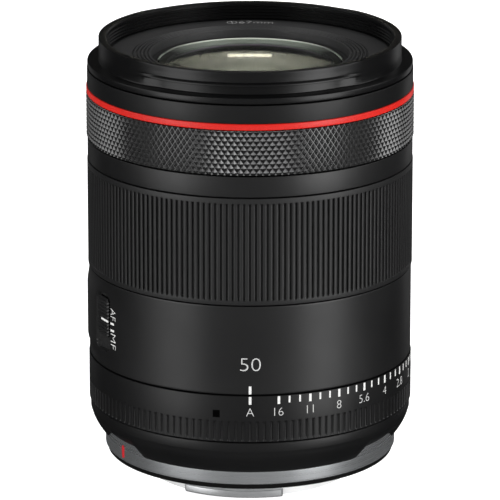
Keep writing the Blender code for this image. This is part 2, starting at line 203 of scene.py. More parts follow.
def turned_metal(name, colour, roughness, metallic=1.0):
    """Metal with fine lathe lines around the axis."""
    nodes = Nodes(name)
    nodes.set(Metallic=metallic)
    lines = nodes.noise(1.0, 3.0, 0.7, nodes.turned_place(2600.0))
    stains = nodes.noise(90.0, 4.0)
    darker = tuple(part * 0.88 for part in colour)
    nodes.colours(nodes.spread(stains, 0.0, 1.0), darker, colour)
    nodes.link(nodes.spread(lines, roughness - 0.06, roughness + 0.08),
               nodes.shader.inputs["Roughness"])
    nodes.bump(lines, 0.35, 0.000004)
    return nodes.material


def coated_glass(name, film):
    """Clear glass with an anti-reflection coating of the given thickness in nm."""
    nodes = Nodes(name)
    nodes.set(Metallic=0.0, IOR=1.42, Transmission_Weight=1.0)
    nodes.set(Thin_Film_Thickness=film, Thin_Film_IOR=1.38)
    smear = nodes.noise(40.0, 2.0)
    nodes.colours(nodes.spread(smear, 0.0, 1.0), (0.90, 0.95, 0.92), (0.95, 0.98, 0.96))
    nodes.link(nodes.spread(smear, 0.055, 0.075), nodes.shader.inputs["Roughness"])
    return nodes.material


BLACK = (0.0042, 0.0042, 0.0044)
BARREL_PAINT = paint("barrel_paint", BLACK, 0.40)
SATIN_PAINT = paint("satin_paint", (0.0036, 0.0036, 0.0038), 0.40, specular=0.33)
RIM_PAINT = paint("rim_paint", (0.0028, 0.0028, 0.0030), 0.31, specular=0.32)
KNURL_PAINT = paint("knurl_paint", (0.0040, 0.0040, 0.0042), 0.26, grain_depth=0.000004,
                    specular=1.0)
GRIP_RUBBER = paint("grip_rubber", (0.0052, 0.0052, 0.0054), 0.48)
SKIRT_PAINT = paint("skirt_paint", (0.0026, 0.0026, 0.0028), 0.42, specular=0.38)
PLATE_BLACK = paint("plate_black", (0.0260, 0.0260, 0.0265), 0.50)
SWITCH_PLASTIC = paint("switch_plastic", (0.0040, 0.0040, 0.0042), 0.42)
WELL_BLACK = paint("well_black", (0.004, 0.004, 0.004), 0.70)
# painted shade standing in for the hollow of the square notch
NOTCH_PAINTED_SHADE = paint("notch_painted_shade", (0.001, 0.001, 0.001), 0.85, specular=0.0)
INNER_BROWN = paint("inner_brown", (0.006, 0.005, 0.0034), 0.60, specular=0.1)
# Painted highlights: the glass edge, bevel and violet lip are light at their far side and dark
# at their near side; the bevel's near-white and the lip's violet are painted reflections
GLASS_EDGE = painted_far_highlight("glass_edge", (0.76, 0.82, 0.70), 0.45)
GLASS_BEVEL = painted_far_highlight("glass_bevel", (0.93, 0.96, 0.86), 0.35)
PAINTED_VIOLET_REFLECTION = painted_far_highlight("painted_violet_reflection", (0.80, 0.58, 0.82), 0.40)
SEAL_RUBBER = paint("seal_rubber", (0.002, 0.002, 0.002), 0.62, specular=0.15)
RED_ENAMEL = paint("red_enamel", (0.46, 0.006, 0.002), 0.33, grain_depth=0.000004,
                   specular=0.35)
WHITE_PAINT = paint("white_paint", (0.56, 0.56, 0.55), 0.55)
PALE_PAINT = paint("pale_paint", (0.42, 0.42, 0.415), 0.55)
INDEX_RED = paint("index_red", (0.40, 0.004, 0.010), 0.40)
BOARD_GREEN = paint("board_green", (0.02, 0.13, 0.05), 0.45)
MOUNT_METAL = turned_metal("mount_metal", (0.56, 0.575, 0.59), 0.28, metallic=0.92)
LUG_METAL = turned_metal("lug_metal", (0.60, 0.61, 0.62), 0.32, metallic=0.8)
# silver tube with the bright floor's reflection painted into its near-white, mostly matt
# colour
TUBE_METAL_PAINTED_REFLECTION = turned_metal("tube_metal_painted_reflection", (0.90, 0.90, 0.90), 0.35, metallic=0.25)
STEEL = turned_metal("steel", (0.50, 0.50, 0.52), 0.30)
CELL_METAL = turned_metal("cell_metal", (0.20, 0.20, 0.21), 0.42)
COPPER = turned_metal("coil_copper", (0.72, 0.35, 0.18), 0.35)
GOLD = turned_metal("contact_gold", (0.83, 0.62, 0.25), 0.25)
FRONT_GLASS = coated_glass("front_glass", 111.0)
SECOND_GLASS = coated_glass("second_glass", 165.0)
THIRD_GLASS = coated_glass("third_glass", 136.0)
INNER_GLASS = coated_glass("inner_glass", 145.0)


# --- Mesh helpers -----------------------------------------------------------
def polar(reach, angle, height=0.0):
    """Point at a radius, an angle around the axis and a height."""
    turn = math.radians(angle)
    return Vector((reach * math.sin(turn), -reach * math.cos(turn), height))


def finish_piece(name, mesh, material, body, replaced=()):
    """Object for a mesh, shaded smooth with sharp edges kept, riding on a body."""
    piece = bpy.data.objects.new(name, mesh)
    COLLECTION.objects.link(piece)
    mesh.materials.append(material)
    mesh.shade_smooth()
    mesh.set_sharp_from_angle(angle=SMOOTH_ANGLE)
    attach(piece, body)
    if replaced:
        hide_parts(*replaced)
    return piece


def grid_mesh(name, rows, columns, point, wrap_rows):
    """Skin over a grid that closes around the axis. point(row, column) gives mm."""
    vertices = []
    for row in range(rows):
        for column in range(columns):
            vertices.append(Vector(point(row, column)) * MM)
    faces = []
    for row in range(rows if wrap_rows else rows - 1):
        low = row * columns
        high = ((row + 1) % rows) * columns
        for column in range(columns):
            after = (column + 1) % columns
            faces.append((low + column, high + column, high + after, low + after))
    mesh = bpy.data.meshes.new(name)
    mesh.from_pydata(vertices, [], faces)
    mesh.validate()
    return mesh


def weld(mesh):
    """Close a grid where its ends meet the axis, with all faces pointing out."""
    work = bmesh.new()
    work.from_mesh(mesh)
    bmesh.ops.remove_doubles(work, verts=work.verts, dist=0.0000001)
    bmesh.ops.recalc_face_normals(work, faces=work.faces)
    work.to_mesh(mesh)
    work.free()


def eased(profile, steps=4):
    """Profile of (radius, height, rounding) with its corners turned into arcs."""
    points = []
    count = len(profile)
    for index, (r, z, rounding) in enumerate(profile):
        here = Vector((r, z))
        if rounding <= 0.0:
            points.append(here)
            continue
        back = Vector(profile[index - 1][:2]) - here
        ahead = Vector(profile[(index + 1) % count][:2]) - here
        reach = min(rounding, back.length * 0.49, ahead.length * 0.49)
        start = here + back.normalized() * reach
        stop = here + ahead.normalized() * reach
        for step in range(steps + 1):
            t = step / steps
            points.append(start.lerp(here, t).lerp(here.lerp(stop, t), t))
    return [(point.x, point.y) for point in points]


def lathe(name, profile, material, body, replaced=(), sides=SIDES, steps=4):
    """Closed profile turned around the axis, corners rounded."""
    points = eased(profile, steps)

    def place(row, column):
        r, z = points[row]
        return polar(r, 360.0 * column / sides, z)

    mesh = grid_mesh(name, len(points), sides, place, wrap_rows=True)
    finish_piece(name, mesh, material, body, replaced)


def smoothstep(low, high, value):
    t = min(max((value - low) / (high - low), 0.0), 1.0)
    return t * t * (3.0 - 2.0 * t)


def turned_from(angle, centre):
    """Signed angle between two directions, -180 to 180."""
    return (angle - centre + 180.0) % 360.0 - 180.0


def joined(name, meshes):
    """One mesh from several."""
    work = bmesh.new()
    for mesh in meshes:
        work.from_mesh(mesh)
        bpy.data.meshes.remove(mesh)
    result = bpy.data.meshes.new(name)
    work.to_mesh(result)
    work.free()
    return result


# --- Lettering and marks ----------------------------------------------------
MARK_LIFT = 0.025       # how far paint stands proud of its surface
MARK_DEPTH = 0.05


def text_mesh(text, height, wrap, thinner=0.012, wider=1.0):
    """Text whose capitals are height mm tall, bent by wrap(x, y, lift).

    thinner slims the strokes and wider stretches the whole text.
    """
    curve = bpy.data.curves.new("lettering", "FONT")
    curve.body = text
    curve.align_x = "CENTER"
    curve.resolution_u = 6
    curve.extrude = 0.5
    curve.offset = -thinner
    source = bpy.data.objects.new("lettering", curve)
    COLLECTION.objects.link(source)
    bpy.context.view_layer.update()
    evaluated = source.evaluated_get(bpy.context.evaluated_depsgraph_get())
    mesh = bpy.data.meshes.new_from_object(evaluated)
    bpy.data.objects.remove(source, do_unlink=True)
    bpy.data.curves.remove(curve)
    work = bmesh.new()
    work.from_mesh(mesh)
    bmesh.ops.remove_doubles(work, verts=work.verts, dist=0.0001)
    capital = 0.73          # height of a capital in the built-in font, per unit size
    scale = height / capital
    sides = [vertex.co.x for vertex in work.verts]
    middle = (min(sides) + max(sides)) / 2
    for vertex in work.verts:
        x, y, z = vertex.co
        lift = MARK_LIFT if z > 0.0 else MARK_LIFT - MARK_DEPTH
        vertex.co = wrap((x - middle) * scale * wider, y * scale, lift) * MM
    work.to_mesh(mesh)
    work.free()
    return mesh


def around(reach, angle, base):
    """Wrap for upright text on the barrel, its baseline at height base."""
    def wrap(x, y, lift):
        return polar(reach + lift, angle + math.degrees(x / reach), base + y)
    return wrap


def downwards(reach, angle, middle):
    """Wrap for text that reads towards the mount, its middle at a height."""
    def wrap(x, y, lift):
        return polar(reach + lift, angle + math.degrees(y / reach), middle - x)
    return wrap


def patch_mesh(name, reach, centre, width, top, bottom, steps=4, round_ends=False):
    """Thin curved bar of paint, width mm across, centred on an angle."""
    half = math.degrees(width / reach) / 2
    work = bmesh.new()
    outer, inner = [], []
    for step in range(steps + 1):
        angle = centre - half + 2 * half * step / steps
        inset = 0.0
        if round_ends:
            across = abs(2.0 * step / steps - 1.0)
            inset = width / 2 * (1.0 - math.sqrt(max(0.0, 1.0 - across * across)))
        for height in (top - inset, bottom + inset):
            outer.append(work.verts.new(polar(reach + MARK_LIFT, angle, height) * MM))
            inner.append(work.verts.new(
                polar(reach + MARK_LIFT - MARK_DEPTH, angle, height) * MM))
    for step in range(steps):
        a, b = 2 * step, 2 * step + 2
        work.faces.new((outer[a], outer[a + 1], outer[b + 1], outer[b]))
        work.faces.new((inner[a], inner[b], inner[b + 1], inner[a + 1]))
        work.faces.new((outer[a], outer[b], inner[b], inner[a]))
        work.faces.new((outer[a + 1], inner[a + 1], inner[b + 1], outer[b + 1]))
    last = 2 * steps
    work.faces.new((outer[0], inner[0], inner[1], outer[1]))
    work.faces.new((outer[last], outer[last + 1], inner[last + 1], inner[last]))
    mesh = bpy.data.meshes.new(name)
    work.to_mesh(mesh)
    work.free()
    return mesh


def marks(name, meshes, material, body):
    """One piece from all the marks of a kind."""
    finish_piece(name, joined(name, meshes), material, body)


# --- Front ring and name plate ----------------------------------------------
THREAD_PITCH = 0.75
THREAD_TURNS = 5
HOOD_SLOT_HALF = 44.6   # half angle of each hood bayonet slot


def build_filter_rim():
    """Front rim: thread inside, hood slots outside, shoulder below."""
    wall, bore, top = 35.25, 33.35, FRONT_TOP
    inside = [(bore + 0.25, top - 0.02), (bore, top - 0.35)]
    start = top - 0.9
    for turn in range(THREAD_TURNS):
        crest = start - THREAD_PITCH * turn
        inside += [(bore, crest), (bore + 0.30, crest - 0.30), (bore + 0.30, crest - 0.42),
                   (bore, crest - 0.66)]
    inside += [(bore - 0.05, 100.6), (31.6, 100.2), (31.6, 95.1), (34.0, 95.1)]

    def outline(angle):
        slot = max(1.0 - smoothstep(HOOD_SLOT_HALF - 9.0, HOOD_SLOT_HALF + 3.0,
                                    abs(turned_from(angle, centre)))
                   for centre in (0.0, 180.0))

        def cut(depth):
            return wall - depth * slot

        outside = [
            (34.0, 98.0), (37.6, 98.0), (37.86, 98.12), (37.90, 98.3), (37.90, 99.16),
            (37.82, 99.36), (37.66, 99.42), (35.7 - 0.6 * slot, 99.44),
            (cut(0.95) + 0.10, 99.50), (cut(0.95), 99.70), (cut(0.95), 101.20),
            (cut(0.55), 101.34), (cut(0.10), 101.40), (cut(0.0), 101.50),
            (cut(0.04), 101.68), (cut(0.16), 101.88), (cut(0.42), 102.06),
            (cut(0.50), 102.20), (cut(0.12), 102.34), (cut(0.0), 102.42),
            (cut(0.02), 102.56), (cut(0.08), 102.80), (cut(0.20), 103.10),
            (cut(0.28), 103.45), (cut(0.30), 103.80), (cut(0.30), top - 0.42),
            (cut(0.34), top - 0.24), (cut(0.42), top - 0.10), (cut(0.56), top - 0.02),
            (wall - 0.75, top), (bore + 0.60, top), (bore + 0.40, top),
        ]
        return outside + inside

    sides = 360
    outlines = [outline(360.0 * column / sides) for column in range(sides)]

    def place(row, column):
        r, z = outlines[column][row]
        return polar(r, 360.0 * column / sides, z)

    mesh = grid_mesh("filter_rim", len(outlines[0]), sides, place, wrap_rows=True)
    mesh.flip_normals()
    finish_piece("filter_rim", mesh, RIM_PAINT, "barrel",
                 ("filter_ring",))


def build_name_plate():
    """Flat front plate with five fine ridges around the glass."""
    top = heights("name_ring")[0] - 0.2
    outer, window = 33.25, 23.1
    profile = [(outer, top, 0.0), (outer, 99.7, 0.0), (24.2, 99.7, 0.0), (24.2, 98.7, 0.0),
               (window, 98.7, 0.0), (window, top + 0.12, 0.08)]
    ridges = 5
    pitch = (27.4 - window) / ridges
    for ridge in range(ridges):
        r = window + pitch * ridge
        profile += [(r + 0.14 * pitch, top + 0.24, 0.06), (r + 0.56 * pitch, top + 0.24, 0.06),
                    (r + 0.70 * pitch, top - 0.22, 0.04), (r + 0.98 * pitch, top - 0.22, 0.04)]
    profile += [(27.5, top, 0.05)]
    profile.reverse()
    lathe("name_plate", profile, PLATE_BLACK, "barrel", ("name_ring",),
          sides=SIDES, steps=2)
    size = text_mesh("Φ67mm", 2.4, facing_front(29.4, 180.0, top), 0.02)
    marks("filter_size_mark", [size], PALE_PAINT, "barrel")


def facing_front(reach, angle, height):
    """Wrap for text on the front plate that reads upright from the index side."""
    def wrap(x, y, lift):
        return polar(reach + y, angle - math.degrees(x / reach), height + lift)
    return wrap


# --- Plain bands ------------------------------------------------------------
def build_band(name, outer, top, bottom, inner, material, replaced, edge=0.14):
    profile = [(outer, top, edge), (outer, bottom, edge), (inner, bottom, 0.0),
               (inner, top, 0.0)]
    lathe(name, profile, material, "barrel", replaced)


def build_fixed_bands():
    profile = [
        (BAND_R, BAND_TOP + 0.13, 0.16), (BAND_R, RED_TOP + 0.06, 0.06),
        (SLEEVE_R + 0.6, RED_TOP + 0.06, 0.0), (SLEEVE_R + 0.6, RED_BOTTOM - 0.1, 0.0),
        (SLEEVE_R, RED_BOTTOM - 0.1, 0.0), (SLEEVE_R, SLEEVE_BOTTOM, 0.0),
        (34.7, SLEEVE_BOTTOM, 0.0), (34.7, BAND_TOP + 0.13, 0.0),
    ]
    lathe("front_band", profile, SATIN_PAINT, "barrel", ("front_barrel",))
    build_band("accent_ring", RED_R, RED_TOP, RED_BOTTOM - 0.02, SLEEVE_R + 0.7,
               RED_ENAMEL, ("red_ring",), 0.26)
    build_band("smooth_band", BAND_R, MID_TOP + 0.02, MID_BOTTOM, SLEEVE_R + 0.2,
               BARREL_PAINT, ("mid_band",))


# --- Knurled control ring ---------------------------------------------------
KNURL_COLUMNS = 162
KNURL_HEIGHT = 0.40
KNURL_PITCH = 2.14      # height of one diamond
KNURL_GROOVE = 0.035    # share of a diamond lost to the groove beside it
KNURL_FLAT = 0.08       # size of the blunt top against the diamond


def knurl_pyramid(work, angle, height, root):
    """One blunt four-sided pyramid standing on the ring."""
    half_angle = 180.0 / KNURL_COLUMNS
    layers = []
    for share, reach in ((1.0 - KNURL_GROOVE, root - 0.03),
                         (KNURL_FLAT, root + KNURL_HEIGHT)):
        corners = ((0.0, 1.0), (1.0, 0.0), (0.0, -1.0), (-1.0, 0.0))
        layers.append([
            work.verts.new(polar(reach, angle + half_angle * share * x,
                                 height + KNURL_PITCH / 2 * share * y) * MM)
            for x, y in corners])
    base, cap = layers
    work.faces.new(cap)
    work.faces.new(list(reversed(base)))
    for index in range(4):
        after = (index + 1) % 4
        work.faces.new((base[index], base[after], cap[after], cap[index]))


def build_control_ring():
    """Ring with a diamond knurl: rows of pyramids, cut off square at its edges."""
    top, bottom = CONTROL_TOP + 0.12, CONTROL_BOTTOM
    root = CONTROL_R - KNURL_HEIGHT
    core = [(root, top, 0.1), (root, bottom, 0.1), (RING_BORE, bottom, 0.0),
            (RING_BORE, top, 0.0)]
    lathe("control_ring_core", core, KNURL_PAINT, "control_ring",
          ("control_ring",))
    work = bmesh.new()
    rows = int((top - bottom) / (KNURL_PITCH / 2)) + 1
    for row in range(rows + 1):
        shift = 0.5 * (row % 2)
        for column in range(KNURL_COLUMNS):
            knurl_pyramid(work, 360.0 * (column + shift) / KNURL_COLUMNS,
                          top - 0.15 - KNURL_PITCH / 2 * row, root)
    for height, facing in ((top - 0.04, 1.0), (bottom + 0.04, -1.0)):
        everything = work.verts[:] + work.edges[:] + work.faces[:]
        cut = bmesh.ops.bisect_plane(work, geom=everything, plane_co=(0.0, 0.0, height * MM),
                                     plane_no=(0.0, 0.0, facing), clear_outer=True)
        open_edges = [item for item in cut["geom_cut"] if isinstance(item, bmesh.types.BMEdge)]
        bmesh.ops.holes_fill(work, edges=open_edges, sides=8)
    bmesh.ops.recalc_face_normals(work, faces=work.faces)
    mesh = bpy.data.meshes.new("knurl")
    work.to_mesh(mesh)
    work.free()
    piece = finish_piece("knurl", mesh, KNURL_PAINT, "control_ring")
    piece.data.shade_flat()


# --- Ribbed rings -----------------------------------------------------------
RIB_SAMPLES = 10        # facets across one rib and its slot


def rib_shape(phase, crest):
    """Cross-section of one rib: 1 on its rounded crest, 0 in the slot between."""
    across = abs(phase - 0.5) / 0.5
    if across < crest:
        return 1.0 - 0.10 * (across / crest) ** 2
    return 0.90 * (1.0 - smoothstep(crest, crest + 0.14, across))


def ribbed_ring(name, ribs, zones, cut_shape, material, body, replaced):
    """Ring with ribs along the axis. zones: outer radius, heights and inner radius."""
    outer, top, rib_top, rib_bottom, bottom, inner = zones
    depth, crest = cut_shape
    columns = ribs * RIB_SAMPLES
    end = 0.55          # length over which a slot runs in from its rounded end
    steps = 5
    rows = [(inner, top, 0.0), (outer - 0.12, top, 0.0), (outer - 0.03, top - 0.05, 0.0),
            (outer, top - 0.16, 0.0), (outer, rib_top + 0.02, 0.0)]
    for step in range(steps + 1):
        rows.append((outer, rib_top - end * step / steps,
                     math.sin(step / steps * math.pi / 2)))
    rows.append((outer, (rib_top + rib_bottom) / 2, 1.0))
    for step in range(steps + 1):
        rows.append((outer, rib_bottom + end * (steps - step) / steps,
                     math.cos(step / steps * math.pi / 2)))
    rows += [(outer, rib_bottom - 0.02, 0.0), (outer, bottom + 0.16, 0.0),
             (outer - 0.03, bottom + 0.05, 0.0), (outer - 0.12, bottom, 0.0),
             (inner, bottom, 0.0)]

    def place(row, column):
        reach, height, cut = rows[row]
        phase = (column % RIB_SAMPLES) / RIB_SAMPLES
        slot_depth = depth * cut * (1.0 - rib_shape(phase, crest))
        return polar(reach - slot_depth, 360.0 * column / columns, height)

    mesh = grid_mesh(name, len(rows), columns, place, wrap_rows=True)
    finish_piece(name, mesh, material, body, replaced)


def build_focus_ring():
    zones = (FOCUS_R, FOCUS_TOP + 0.10, FOCUS_TOP - 1.1, FOCUS_BOTTOM + 0.95,
             FOCUS_BOTTOM - 0.05, RING_BORE)
    ribbed_ring("ribbed_focus_ring", 180, zones, (0.58, 0.58), GRIP_RUBBER,
                "focus_ring", ("focus_ring", "focus_grip"))


APERTURE_STOPS = ("A", "16", "11", "8", "5.6", "4", "2.8", "2", "1.4")
AUTO_TO_FIRST = 10.0    # degrees from A to 16
THIRD_STOP = 3.78       # degrees between marks
RIB_TOP = 22.95
NOTCH_ANGLE = -11.8     # small square notch beside the A, drawn as a flat patch of painted shade


def build_aperture_ring():
    zones = (APERTURE_R, APERTURE_TOP + 0.05, RIB_TOP, APERTURE_BOTTOM + 0.12,
             APERTURE_BOTTOM, RING_BORE)
    ribbed_ring("ribbed_aperture_ring", 144, zones, (0.30, 0.70), SATIN_PAINT,
                "aperture_ring", ("aperture_ring",))
    top = APERTURE_TOP + 0.02
    ticks, numbers = [], []
    last = len(APERTURE_STOPS) - 1
    for number, text in enumerate(APERTURE_STOPS):
        angle = AUTO_TO_FIRST + 3.0 * THIRD_STOP * (number - 1) if number else 0.0
        if 0 < number < last:
            for third in (1, 2):
                ticks.append(patch_mesh("tick", APERTURE_R, angle + third * THIRD_STOP,
                                        0.42, top - 0.15, top - 1.75))
        ticks.append(patch_mesh("tick", APERTURE_R, angle, 0.60, top - 0.10, top - 1.95))
        numbers.append(text_mesh(text, 2.15, around(APERTURE_R, angle, top - 4.80), 0.018))
    marks("aperture_ticks", ticks, WHITE_PAINT, "aperture_ring")
    marks("aperture_numbers", numbers, PALE_PAINT, "aperture_ring")
    # The notch is not cut: a flat black patch of painted shade stands where its hollow would
    # be.
    notch = patch_mesh("notch", APERTURE_R, NOTCH_ANGLE, 1.65, 25.5, 23.75)
    marks("aperture_ring_notch", [notch], NOTCH_PAINTED_SHADE, "aperture_ring")


# --- Fixed barrel, switch panel and switches --------------------------------
PANEL_CENTRE = -92.0
PANEL_HALF = 32.0
PANEL_RISE = 0.42
SLOT_CENTRE = -64.2
SLOT_HALF = 5.0
SLOT_TOP, SLOT_BOTTOM = 47.3, 33.5
SLOT_DEPTH, BUTTON_DEPTH, LOCK_DEPTH = 0.95, 0.9, 1.1
WELL_START = 0.25       # a recess is dark below this depth
BUTTON_ANGLE = -97.0
BUTTON_Z = 40.2
BUTTON_R = 3.0
LOCK_ANGLE = 135.0
LOCK_TRAVEL = 2.0
LOCK_TOP, LOCK_BOTTOM = heights("iris_lock_knob")


def panel_lift(angle, height):
    """How far the switch panel swells out of the barrel."""
    side = abs(turned_from(angle, PANEL_CENTRE))
    across = 1.0 - smoothstep(PANEL_HALF - 10.0, PANEL_HALF - 1.0, side)
    up = smoothstep(PANEL_BOTTOM, PANEL_BOTTOM + 2.4, height)
    down = 1.0 - smoothstep(PANEL_TOP - 3.4, PANEL_TOP + 0.6, height)
    return PANEL_RISE * across * up * down


def rounded_slot(x, y, half_width, half_length, corner):
    """Distance outside a rounded rectangle, negative inside it."""
    dx = abs(x) - half_width + corner
    dy = abs(y) - half_length + corner
    outside = math.hypot(max(dx, 0.0), max(dy, 0.0))
    return outside + min(max(dx, dy), 0.0) - corner


def pulled_in(x, y, half_width, half_length, corner):
    """Point moved towards the middle until it is inside the rounded rectangle."""
    inset = max(0.0, rounded_slot(x, y, half_width, half_length, corner))
    if inset == 0.0:
        return x, y
    pull = 1.0 - inset / math.hypot(x, y)
    return x * pull, y * pull


def barrel_dip(angle, height):
    """Depth of the recesses for the mode knob, the button and the lock knob."""
    slot_x = math.radians(turned_from(angle, SLOT_CENTRE)) * FIXED_R
    slot = rounded_slot(slot_x, height - (SLOT_TOP + SLOT_BOTTOM) / 2,
                        math.radians(SLOT_HALF) * FIXED_R, (SLOT_TOP - SLOT_BOTTOM) / 2, 2.0)
    button_x = math.radians(turned_from(angle, BUTTON_ANGLE)) * FIXED_R
    button = math.hypot(button_x, height - BUTTON_Z) - BUTTON_R - 0.25
    lock_x = math.radians(turned_from(angle, LOCK_ANGLE)) * FIXED_R
    lock = rounded_slot(lock_x, height - (LOCK_TOP + LOCK_BOTTOM - LOCK_TRAVEL) / 2,
                        4.0, (LOCK_TOP - LOCK_BOTTOM + LOCK_TRAVEL) / 2 + 0.6, 1.2)
    return max(SLOT_DEPTH * (1.0 - smoothstep(-0.16, 0.06, slot)),
               BUTTON_DEPTH * (1.0 - smoothstep(-0.12, 0.08, button)),
               LOCK_DEPTH * (1.0 - smoothstep(-0.20, 0.06, lock)))


def barrel_angles():
    """Grid angles: close together over the recesses, wide apart elsewhere."""
    fine, coarse = 0.4, 1.5
    busy = ((SLOT_CENTRE, 7.5), (BUTTON_ANGLE, 7.5), (LOCK_ANGLE, 9.0))
    angles, angle = [], -180.0
    while angle < 180.0 - fine / 2:
        angles.append(angle)
        close = any(abs(angle - centre) < reach for centre, reach in busy)
        angle += fine if close else coarse
    return angles


def build_fixed_barrel():
    """Fixed barrel as a grid, so that the panel and recesses flow out of it."""
    top, bottom, inner = FIXED_TOP + 0.08, FIXED_BOTTOM, 35.9
    rows = 80
    angles = barrel_angles()
    levels = [(inner, top), (FIXED_R - 0.15, top), (FIXED_R - 0.04, top - 0.05)]
    surface = [top - 0.16 - (top - bottom - 0.32) * row / rows for row in range(rows + 1)]
    closing = [(FIXED_R - 0.04, bottom + 0.05), (FIXED_R - 0.15, bottom), (inner, bottom)]

    def place(row, column):
        angle = angles[column]
        if row < len(levels):
            return polar(levels[row][0], angle, levels[row][1])
        row -= len(levels)
        if row < len(surface):
            height = surface[row]
            reach = FIXED_R + panel_lift(angle, height) - barrel_dip(angle, height)
            return polar(reach, angle, height)
        row -= len(surface)
        return polar(closing[row][0], angle, closing[row][1])

    total = len(levels) + len(surface) + len(closing)
    mesh = grid_mesh("fixed_barrel", total, len(angles), place, wrap_rows=True)
    finish_piece("fixed_barrel", mesh, BARREL_PAINT, "barrel",
                 ("main_barrel", "switch_panel"))
    mesh.materials.append(WELL_BLACK)
    for face in mesh.polygons:
        centre = face.center / MM
        angle = math.degrees(math.atan2(centre.x, -centre.y))
        if centre.xy.length > FIXED_R - 1.5 and barrel_dip(angle, centre.z) > WELL_START:
            face.material_index = 1
    index = patch_mesh("index", FIXED_R, 0.0, 0.62, FIXED_BOTTOM + 2.0, FIXED_BOTTOM + 0.12)
    focal = text_mesh("50", 3.4, around(FIXED_R, 0.1, 35.0), 0.020, 1.16)
    marks("barrel_index", [index], WHITE_PAINT, "barrel")
    marks("focal_length", [focal], PALE_PAINT, "barrel")
    reach = FIXED_R + 0.02
    side, letter = -58.6, 2.3
    auto = text_mesh("AF", letter, downwards(reach, side, 43.2), 0.02, 0.82)
    manual = text_mesh("MF", letter, downwards(reach, side, 36.65), 0.02, 1.04)
    upper = patch_mesh("mode_tick", reach, side + 1.1, 1.5, 41.15, 40.65)
    lower = patch_mesh("mode_tick", reach, side + 1.1, 1.5, 39.50, 39.00)
    marks("mode_ticks", [upper, lower], WHITE_PAINT, "barrel")
    marks("mode_letters", [auto, manual], WHITE_PAINT, "barrel")


def block_grid(name, size, divisions, shape, place):
    """Box of a fine grid, size mm, moved by shape(x, y, z) and set in place."""
    work = bmesh.new()
    bmesh.ops.create_cube(work, size=1.0)
    bmesh.ops.subdivide_edges(work, edges=work.edges[:], cuts=divisions,
                              use_grid_fill=True)
    for vertex in work.verts:
        x, y, z = (vertex.co[i] * size[i] for i in range(3))
        vertex.co = place(*shape(x, y, z)) * MM
    mesh = bpy.data.meshes.new(name)
    work.to_mesh(mesh)
    work.free()
    return mesh


def build_mode_knob():
    """Long slider with rounded ends, fine ribs across it and a white line."""
    middle = (KNOB_TOP + KNOB_BOTTOM) / 2
    width, length, thick = 5.7, KNOB_TOP - KNOB_BOTTOM, 0.9
    crest, corner, rib_pitch, rib_height = 38.28, 1.1, 0.85, 0.22

    def shape(x, y, z):
        x, y = pulled_in(x, y, width / 2, length / 2, corner)
        if z > 0.0:
            rim = smoothstep(-0.45, 0.0, rounded_slot(x, y, width / 2, length / 2, corner))
            ribs = rib_height / 2 * (math.cos(2.0 * math.pi * y / rib_pitch) - 1.0)
            z += ribs - 0.25 * rim
        return x, y, z

    def place(x, y, z):
        reach = crest - thick / 2 + z
        return polar(reach, SLOT_CENTRE + math.degrees(x / FIXED_R), middle + y)

    mesh = block_grid("mode_knob", (width, length, thick), 44, shape, place)
    finish_piece("mode_knob", mesh, SWITCH_PLASTIC, "focus_mode_knob",
                 ("focus_mode_knob",))
    line_z = 41.15
    line = patch_mesh("line", crest, -62.0, 3.6, line_z + 0.24, line_z - 0.24, steps=6)
    marks("mode_knob_line", [line], WHITE_PAINT, "focus_mode_knob")


def build_function_button():
    """Round dished button that presses into the panel."""
    outward = polar(1.0, BUTTON_ANGLE)
    sideways = Vector((-outward.y, outward.x, 0.0))
    centre = Vector((0.0, 0.0, BUTTON_Z))
    profile = [(0.0, 38.16), (1.2, 38.20), (2.2, 38.34), (2.62, 38.38), (2.86, 38.30),
               (2.96, 38.10), (2.98, 37.0), (0.0, 37.0)]
    sides = 64

    def place(row, column):
        r, reach = profile[row]
        turn = 2.0 * math.pi * column / sides
        across = sideways * (r * math.cos(turn))
        return centre + outward * reach + across + Vector((0.0, 0.0, r * math.sin(turn)))

    mesh = grid_mesh("lens_button", len(profile), sides, place, wrap_rows=False)
    weld(mesh)
    finish_piece("lens_button", mesh, SWITCH_PLASTIC, "function_button",
                 ("function_button",))


def build_lock_knob():
    """Small ribbed slider near the mount that locks the aperture ring."""
    middle = (LOCK_TOP + LOCK_BOTTOM) / 2
    width, length, thick = 6.4, LOCK_TOP - LOCK_BOTTOM, 1.2
    core_r, corner, rib_pitch = 37.25, 0.7, 0.8

    def shape(x, y, z):
        x, y = pulled_in(x, y, width / 2, length / 2, corner)
        if z > 0.0:
            z += 0.16 * math.cos(2.0 * math.pi * y / rib_pitch) - 0.1
        return x, y, z

    def place(x, y, z):
        return polar(core_r + z, LOCK_ANGLE + math.degrees(x / FIXED_R), middle + y)

    mesh = block_grid("lock_knob", (width, length, thick), 16, shape, place)
    finish_piece("lock_knob", mesh, SWITCH_PLASTIC, "iris_lock_knob",
                 ("iris_lock_knob",))


# --- Skirt and bayonet ------------------------------------------------------
NOTCH_CENTRES = (-61.0, 61.0, 180.0)
NOTCH_FLAT = 9.0
NOTCH_HALF = 16.5
LUG_CENTRES = (-9.5, 110.5, 230.5)
LUG_HALF = 27.0
LUG_R = 26.0
LUG_ROOT = 24.0         # lugs start inside the tube's wall
LUG_THICK = 1.9
TUBE_R = 24.4
TUBE_BORE = 22.6


def notch_share(angle):
    return max(1.0 - smoothstep(NOTCH_FLAT, NOTCH_HALF, abs(turned_from(angle, centre)))
               for centre in NOTCH_CENTRES)


